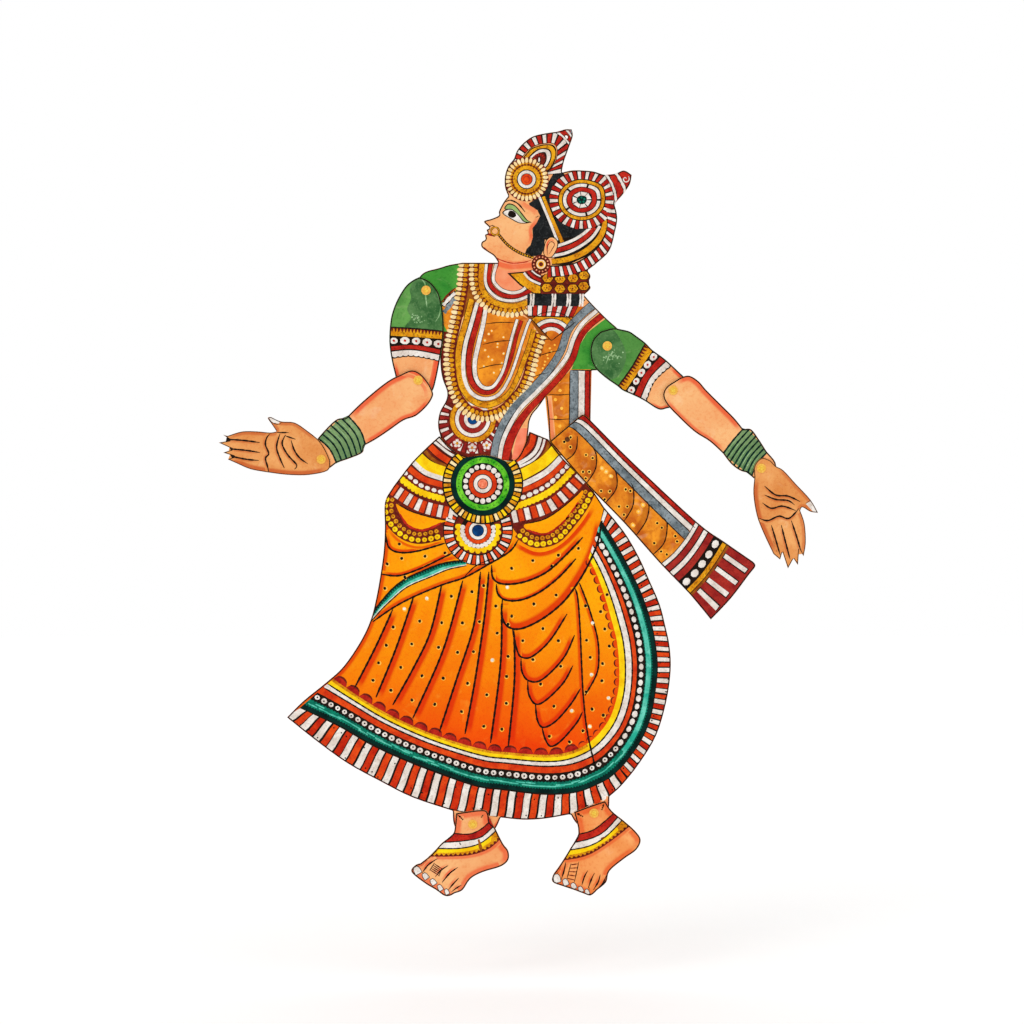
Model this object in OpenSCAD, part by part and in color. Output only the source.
// Articulated hide shadow puppet of a dancer: flat painted sheets that overlap and turn on knotted thread ties.
// Shapes are drawn in a plane with X to the right and Z up, with the soles at z = 0.
// The painted side faces -Y. The torso sheet is at the back, and depth is counted from its back face towards -Y.
// Each sub-part is then moved so that the hanging hole is at the origin.

/* [Hide] */
// Thickness of every hide sheet
hide_t = 0.9; // [0.7:0.1:1.0]
// Air gap between two sheets that touch nothing else
sheet_gap = 0.3; // [0.3:0.1:0.5]
// Chords in each curved span of an outline
chords = 4; // [2:1:8]

/* [Ties] */
// Radius of the twisted thread that passes through a joint
thread_r = 1.2; // [1.0:0.1:1.4]
// Radial play of the thread in the sheet that turns on it
thread_play = 0.07; // [0.03:0.01:0.10]
// Radius of a rawhide washer
washer_r = 4.2; // [3.6:0.1:4.6]
// Thickness of a rawhide washer
washer_t = 0.5; // [0.4:0.1:0.6]
// Radius of a knot at the end of a thread
knot_r = 2.3; // [2.0:0.1:2.6]
// Height of a knot that sits on a washer
knot_h = 0.7; // [0.5:0.1:0.8]
// Height of a knot pressed flat between two sheets
flat_knot_h = 0.4; // [0.3:0.1:0.4]

/* [Spine] */
// Width of the split-cane spine
spine_w = 6; // [5:0.5:8]
// Depth of the split-cane spine
spine_d = 3; // [2.5:0.5:4]

/* [Hanging] */
// Radius of the hanging hole near the tip of the front plume
hang_r = 1.5; // [1.2:0.1:2.0]

/* [Hidden] */
$fn = 48;

// Play between a washer and the sheet beside it, and between a thread and the pieces that stay with it
washer_play = 0.1;
thread_slip = 0.02;

// Depth of each sheet's back face: the arms leave room for the flat knots behind the elbows and wrists
torso_at = 0;
skirt_at = hide_t + sheet_gap;
arm_at = hide_t + flat_knot_h + 0.25;
foot_at = skirt_at + hide_t + sheet_gap;
sash_at = arm_at + hide_t + sheet_gap;
forearm_at = sash_at + hide_t + 2 * flat_knot_h + 0.25;
hand_at = forearm_at + hide_t + sheet_gap;

// Centres of the ties
waist = [-2, 370];
shoulder_left = [-53, 544];
shoulder_right = [110, 494];
elbow_left = [-60, 463];
elbow_right = [169, 454];
wrist_left = [-147, 392];
wrist_right = [248, 384];
ankle_left = [-11, 64];
ankle_right = [98, 74];
sash_knot = [74, 410];
hang_hole = [73, 682];

// The spine leans with the body, from behind the pleats to the hair
spine_low = [-24, 150];
spine_high = [59, 640];
spine_lean = atan2(spine_high.x - spine_low.x, spine_high.y - spine_low.y);
spine_len = norm(spine_high - spine_low);

// ---- Curves ----

// One point between b and c on the smooth curve a, b, c, d
function between(a, b, c, d, t) =
    0.5 * (2 * b + (c - a) * t + (2 * a - 5 * b + 4 * c - d) * t * t + (3 * b - a - 3 * c + d) * t * t * t);

function held(p, i) = p[max(0, min(len(p) - 1, i))];

// A smooth open curve through points, without its last point, which is the first of the next curve
function smooth(p) = [
    for (i = [0 : len(p) - 2], s = [0 : chords - 1])
        between(held(p, i - 1), p[i], p[i + 1], held(p, i + 2), s / chords)
];

// ---- Building blocks ----

module placed() {
    translate([-hang_hole.x, 0, -hang_hole.y]) children();
}

// Stands a drawn shape up, with its back face at a depth and a thickness towards the front
module slab(depth, thickness) {
    placed() translate([0, -depth, 0]) rotate([90, 0, 0]) linear_extrude(thickness) children();
}

module hole(at, r) {
    translate(at) circle(r);
}

// A sheet of hide with holes for threads that turn in it and for threads that stay with it
module hide(depth, outline, turning = [], staying = []) {
    slab(depth, hide_t) difference() {
        polygon(outline);
        for (at = turning) hole(at, thread_r + thread_play);
        for (at = staying) hole(at, thread_r + thread_slip);
        children();
    }
}

// A thread with a knot at each end, turned about its own axis. front and back are depths, heights are the knots'
module tie(at, back, front, back_h, front_h) {
    edge = 0.3;
    placed() translate([at.x, -back, at.y]) rotate([90, 0, 0]) rotate_extrude() polygon([
        [0, -back_h], [knot_r - edge, -back_h], [knot_r, edge - back_h], [knot_r, 0], [thread_r, 0],
        [thread_r, front - back], [knot_r, front - back], [knot_r, front - back + front_h - edge],
        [knot_r - edge, front - back + front_h], [0, front - back + front_h]
    ]);
}

module washer(at, depth, thickness = washer_t, r = washer_r) {
    slab(depth, thickness) difference() {
        hole(at, r);
        hole(at, thread_r + thread_slip);
    }
}

// Depths on either side of a sheet where washers and knots begin
function front_of(at) = at + hide_t + washer_play;
function washer_top(at) = front_of(at) + washer_t;
back_washer_at = -washer_play - washer_t;

// ---- Outlines ----

face = [
    [12, 569], [8, 575], [2, 579], [-3, 583], [-3, 587.5], [0.5, 590], [0, 594], [2.5, 595.5],
    [1.5, 598.5], [4, 600.5], [-1, 606], [6, 608.5], [12.5, 611.5], [12.5, 615], [16.5, 623], [21, 629]
];
rosette_edge = [[21, 629], [18, 637], [18, 647], [21, 656], [26, 662]];
front_plume = [
    [26, 662], [29, 670], [35, 677], [44, 683], [58, 686], [66, 687], [72, 689], [78, 689]
];
front_plume_back = [[78, 689], [79, 683], [76, 674], [71, 660], [69, 650]];
back_plume = [[69, 650], [78, 652], [88, 652], [98, 651], [108, 648], [117, 649], [125, 652], [132, 648]];
back_plume_under = [[132, 648], [130, 639], [122, 628], [116, 623]];
crown_back = [[116, 623], [119, 610], [117, 597], [112, 580], [101, 569], [92, 562]];
bun = [[92, 562], [95, 557], [93, 551], [95, 546], [89, 540]];
right_shoulder = [
    [89, 540], [98, 530], [110, 518], [120, 509], [126, 500], [127, 488], [121, 477], [111, 473], [95, 472]
];
hanging_sash = [[95, 427], [94, 411], [86, 400], [72, 395], [62, 399], [58, 408], [57, 429], [55, 449]];
right_flank = [[55, 449], [48, 439], [43, 433], [40, 426], [39, 417], [36, 395]];
waist_stub = [[36, 395], [28, 365], [14, 348], [-3, 343], [-19, 348], [-31, 365], [-38, 388], [-40, 413]];
left_flank = [
    [-40, 413], [-42, 420], [-42, 428], [-40, 436], [-35, 445], [-34, 453], [-38, 464], [-40, 476],
    [-40, 493], [-38, 508]
];
left_stub = [
    [-38, 508], [-47, 502], [-57, 504], [-66, 513], [-69, 528], [-66, 544], [-59, 556], [-53, 561],
    [-42, 564], [-32, 567], [-20, 569]
];
torso_outline = concat(
    smooth(face), smooth(rosette_edge), smooth(front_plume), smooth(front_plume_back), smooth(back_plume),
    smooth(back_plume_under), smooth(crown_back), smooth(bun), smooth(right_shoulder), [[95, 472]],
    smooth(hanging_sash), smooth(right_flank), smooth(waist_stub), smooth(left_flank), smooth(left_stub),
    [[-20, 569]]
);

left_hip = [
    [-41, 413], [-51, 404], [-65, 390], [-76, 376], [-84, 365], [-90, 353], [-90, 331], [-91, 310],
    [-94, 288], [-98, 266], [-103, 247], [-112, 228], [-127, 206], [-142, 192], [-163, 175], [-178, 160]
];
left_hem = [[-178, 160], [-153, 140], [-124, 119], [-93, 102], [-65, 88], [-29, 76]];
left_tab = [[-29, 76], [-28, 64], [-22, 54], [-10, 50], [3, 53], [10, 61], [14, 70]];
middle_hem = [[14, 70], [34, 68], [54, 69], [77, 73]];
right_tab = [[77, 73], [83, 64], [94, 60], [106, 64], [111, 75], [112, 89]];
right_hem = [
    [112, 89], [123, 99], [139, 119], [154, 144], [163, 174], [167, 202], [166, 224], [162, 243],
    [157, 262], [148, 283], [138, 305], [125, 327], [107, 349]
];
right_hip = [[107, 349], [91, 372], [70, 393], [57, 410]];
right_waist = [[57, 410], [40, 417]];
right_notch = [[40, 417], [37, 409], [34, 401], [29, 393], [22, 389]];
medallion_top = [[22, 389], [10, 394], [-2, 396], [-12, 394.5], [-20, 394]];
left_waist = [[-20, 394], [-26, 398], [-33, 404], [-41, 413]];
skirt_outline = concat(
    smooth(left_hip), smooth(left_hem), smooth(left_tab), smooth(middle_hem), smooth(right_tab),
    smooth(right_hem), smooth(right_hip), smooth(right_waist), smooth(right_notch), smooth(medallion_top),
    smooth(left_waist)
);

sash_lap = [[58, 408], [83, 429], [89, 432], [95, 427]];
sash_outer_edge = [[95, 427], [132, 390], [190, 336], [215, 318], [241, 300]];
sash_fringe_end = [[241, 300], [243, 296], [237, 288], [221, 267], [203, 248]];
sash_inner_edge = [[203, 248], [184, 271], [157, 299], [125, 335], [91, 370], [58, 408]];
sash_outline = concat(
    smooth(sash_lap), smooth(sash_outer_edge), smooth(sash_fringe_end), smooth(sash_inner_edge)
);

upper_arm_left_outline = smooth([
    [-59, 556], [-50, 552], [-43, 544], [-40, 536], [-38, 526], [-37, 512], [-38, 497], [-41, 479],
    [-44, 464], [-47, 454], [-53, 447], [-62, 444], [-72, 448], [-78, 457], [-81, 469], [-84, 482],
    [-86, 498], [-85, 516], [-82, 528], [-77, 539], [-71, 548], [-65, 553], [-59, 556]
]);

upper_arm_right_outline = smooth([
    [104, 507], [115, 510], [122, 509], [130, 507], [136, 503], [144, 497], [151, 490], [162, 482],
    [176, 469], [183, 462], [185, 453], [181, 445], [173, 440], [164, 438], [156, 437], [143, 445],
    [133, 450], [124, 454], [119, 458], [109, 465], [101, 472], [97, 478], [95, 485], [95, 493],
    [98, 501], [104, 507]
]);

forearm_left_skin = [
    [-125, 429], [-113, 441], [-98, 454], [-86, 463], [-76, 468], [-66, 472], [-58, 469], [-51, 461],
    [-47, 453], [-47, 448], [-52, 440], [-62, 431], [-73, 427], [-86, 418], [-98, 410], [-109, 404]
];
bangles_left_under = [[-109, 404], [-110, 398], [-121, 393], [-133, 389]];
wrist_stub_left = [[-133, 389], [-143, 382], [-152, 382], [-158, 389], [-157, 401], [-150, 411]];
bangles_left_top = [[-150, 411], [-142, 420], [-133, 428], [-125, 429]];
forearm_left_outline = concat(
    smooth(forearm_left_skin), smooth(bangles_left_under), smooth(wrist_stub_left), smooth(bangles_left_top)
);

forearm_right_skin = [
    [214, 397], [202, 408], [188, 417], [172, 432], [163, 442], [160, 450], [163, 457], [170, 462],
    [177, 466], [184, 467], [192, 462], [199, 454], [212, 441], [224, 429], [232, 419]
];
bangles_right_top = [[232, 419], [239, 419], [246, 410], [253, 399]];
wrist_stub_right = [[253, 399], [261, 389], [260, 379], [252, 373], [243, 374], [236, 380]];
bangles_right_under = [[236, 380], [229, 382], [221, 388], [214, 397]];
forearm_right_outline = concat(
    smooth(forearm_right_skin), smooth(bangles_right_top), smooth(wrist_stub_right),
    smooth(bangles_right_under)
);

// Fingers are cut apart only at their tips, so each hand is a palm with four pointed ends and a thumb
palm_left_top = [[-231, 413], [-218, 417], [-204, 417], [-193, 416], [-187, 417]];
thumb_left = [[-187, 417], [-191, 423], [-195, 429], [-192, 430]];
thumb_left_back = [[-192, 430], [-183, 426], [-171, 425], [-160, 418], [-149, 409], [-143, 400], [-139, 391]];
heel_left = [[-139, 391], [-141, 382], [-158, 378], [-176, 378], [-193, 380], [-210, 383], [-222, 388], [-231, 392]];
fingertips_left = [
    [-231, 392], [-224, 394.5], [-235, 398], [-226, 401], [-239, 407], [-228, 409], [-235, 414], [-231, 413]
];
hand_left_outline = concat(
    smooth(palm_left_top), smooth(thumb_left), smooth(thumb_left_back), smooth(heel_left), fingertips_left
);

thumb_right_back = [
    [242, 376], [242, 386], [248, 393], [256, 391], [261, 386], [268, 382], [279, 370], [292, 356], [299, 344]
];
thumb_right = [[299, 344], [292, 345], [285, 349], [283, 346]];
little_right = [[283, 346], [287, 334], [288, 317], [286, 305]];
fingertips_right = [
    [286, 305], [282, 312], [281, 297], [277, 303], [272, 294], [267, 309], [265, 302], [259, 307]
];
heel_right = [[259, 307], [250, 326], [244, 342], [241, 361], [242, 376]];
hand_right_outline = concat(
    smooth(thumb_right_back), smooth(thumb_right), smooth(little_right), fingertips_right, smooth(heel_right)
);

ankle_top_left = [[-26, 74], [-2, 77], [3, 73], [4, 66], [9, 61]];
heel_of_left_foot = [[9, 61], [16, 47], [21, 40], [21, 32], [14, 26], [-2, 21], [-13, 15], [-20, 5], [-27, 2]];
toes_left = [[-27, 2], [-32, -0.5], [-37, 0], [-44, 5], [-54, 11], [-66, 21], [-63, 27], [-58, 29]];
instep_left = [[-58, 29], [-48, 37], [-39, 47], [-29, 55], [-27, 63], [-26, 74]];
foot_left_outline = concat(
    smooth(ankle_top_left), smooth(heel_of_left_foot), smooth(toes_left), smooth(instep_left)
);

ankle_top_right = [[80, 75], [93, 80], [108, 85]];
heel_of_right_foot = [
    [108, 85], [114, 76], [125, 67], [135, 58], [140, 50], [136, 41], [125, 33], [112, 22], [109, 12], [101, 5]
];
toes_right = [[101, 5], [95, 0], [88, 2], [80, 5], [71, 8], [61, 12], [61, 18], [65, 24]];
instep_right = [[65, 24], [71, 33], [77, 43], [84, 56], [80, 75]];
foot_right_outline = concat(
    smooth(ankle_top_right), smooth(heel_of_right_foot), smooth(toes_right), smooth(instep_right)
);

// ---- Hides ----

module torso_hide() {
    color("orange") hide(torso_at, torso_outline, staying = [waist, shoulder_left, shoulder_right, sash_knot])
        hole(hang_hole, hang_r);
}

module skirt_hide() {
    color("darkorange") hide(skirt_at, skirt_outline, turning = [waist], staying = [ankle_left, ankle_right]);
}

module sash_end_hide() {
    color("chocolate") hide(sash_at, sash_outline, turning = [sash_knot]);
}

module upper_arm_hide_left() {
    color("forestgreen") hide(arm_at, upper_arm_left_outline, turning = [shoulder_left], staying = [elbow_left]);
}

module upper_arm_hide_right() {
    color("forestgreen") hide(arm_at, upper_arm_right_outline, turning = [shoulder_right], staying = [elbow_right]);
}

module forearm_hide_left() {
    color("sandybrown") hide(forearm_at, forearm_left_outline, turning = [elbow_left], staying = [wrist_left]);
}

module forearm_hide_right() {
    color("sandybrown") hide(forearm_at, forearm_right_outline, turning = [elbow_right], staying = [wrist_right]);
}

module hand_hide_left() {
    color("peru") hide(hand_at, hand_left_outline, turning = [wrist_left]);
}

module hand_hide_right() {
    color("peru") hide(hand_at, hand_right_outline, turning = [wrist_right]);
}

module foot_hide_left() {
    color("sandybrown") hide(foot_at, foot_left_outline, turning = [ankle_left]);
}

module foot_hide_right() {
    color("sandybrown") hide(foot_at, foot_right_outline, turning = [ankle_right]);
}

// ---- Ties, washers and spacers ----

// A tie with a washer and a knot on both sides, through a sheet at a depth and the sheets behind it to back
module washered_tie(at, front_sheet, back = 0) {
    color("khaki") tie(at, back + back_washer_at, washer_top(front_sheet), knot_h, knot_h);
}

// A tie with a washer in front and a knot pressed flat behind the back sheet
module flat_backed_tie(at, back_sheet, front_sheet) {
    color("khaki") tie(at, back_sheet - thread_slip, washer_top(front_sheet), flat_knot_h, knot_h);
}

module sash_thread() {
    color("saddlebrown") tie(sash_knot, back_washer_at, sash_at + hide_t + thread_slip, knot_h, flat_knot_h);
}

module front_washer(at, sheet) {
    color("moccasin") washer(at, front_of(sheet));
}

module back_washer(at, sheet = 0) {
    color("moccasin") washer(at, sheet + back_washer_at);
}

// Fills the room between two sheets around a thread
module spacer(at, back_sheet, front_sheet, r = washer_r) {
    room = front_sheet - back_sheet - hide_t - 2 * washer_play;
    color("moccasin") washer(at, front_of(back_sheet), room, r);
}

// ---- Spine ----

// Split cane: glued with its flat side against the hide, with a rounded back
module spine_cane() {
    color("burlywood") placed() rotate([90, 0, 0]) translate(spine_low) rotate(-spine_lean) rotate([-90, 0, 0])
        linear_extrude(spine_len)
        intersection() {
            translate([-spine_w / 2, thread_slip]) square([spine_w, spine_d]);
            translate([0, spine_d - spine_w * 0.62]) circle(spine_w * 0.62);
        }
}

torso_hide();
skirt_hide();
sash_end_hide();
upper_arm_hide_left();
upper_arm_hide_right();
forearm_hide_left();
forearm_hide_right();
hand_hide_left();
hand_hide_right();
foot_hide_left();
foot_hide_right();

washered_tie(waist, skirt_at);  // waist_tie
washered_tie(shoulder_left, arm_at);  // shoulder_tie_left
washered_tie(shoulder_right, arm_at);  // shoulder_tie_right
flat_backed_tie(elbow_left, arm_at, forearm_at);  // elbow_tie_left
flat_backed_tie(elbow_right, arm_at, forearm_at);  // elbow_tie_right
flat_backed_tie(wrist_left, forearm_at, hand_at);  // wrist_tie_left
flat_backed_tie(wrist_right, forearm_at, hand_at);  // wrist_tie_right
washered_tie(ankle_left, foot_at, skirt_at);  // ankle_tie_left
washered_tie(ankle_right, foot_at, skirt_at);  // ankle_tie_right
sash_thread();  // sash_tie

front_washer(waist, skirt_at);  // waist_washer_front
front_washer(shoulder_left, arm_at);  // shoulder_washer_front_left
front_washer(shoulder_right, arm_at);  // shoulder_washer_front_right
front_washer(elbow_left, forearm_at);  // elbow_washer_front_left
front_washer(elbow_right, forearm_at);  // elbow_washer_front_right
front_washer(wrist_left, hand_at);  // wrist_washer_front_left
front_washer(wrist_right, hand_at);  // wrist_washer_front_right
front_washer(ankle_left, foot_at);  // ankle_washer_front_left
front_washer(ankle_right, foot_at);  // ankle_washer_front_right

back_washer(waist);  // waist_washer_back
back_washer(shoulder_left);  // shoulder_washer_back_left
back_washer(shoulder_right);  // shoulder_washer_back_right
back_washer(ankle_left, skirt_at);  // ankle_washer_back_left
back_washer(ankle_right, skirt_at);  // ankle_washer_back_right
back_washer(sash_knot);  // sash_washer_back

spacer(elbow_left, arm_at, forearm_at);  // elbow_spacer_left
spacer(elbow_right, arm_at, forearm_at);  // elbow_spacer_right
spacer(sash_knot, torso_at, sash_at, 3.2);  // sash_spacer

spine_cane();
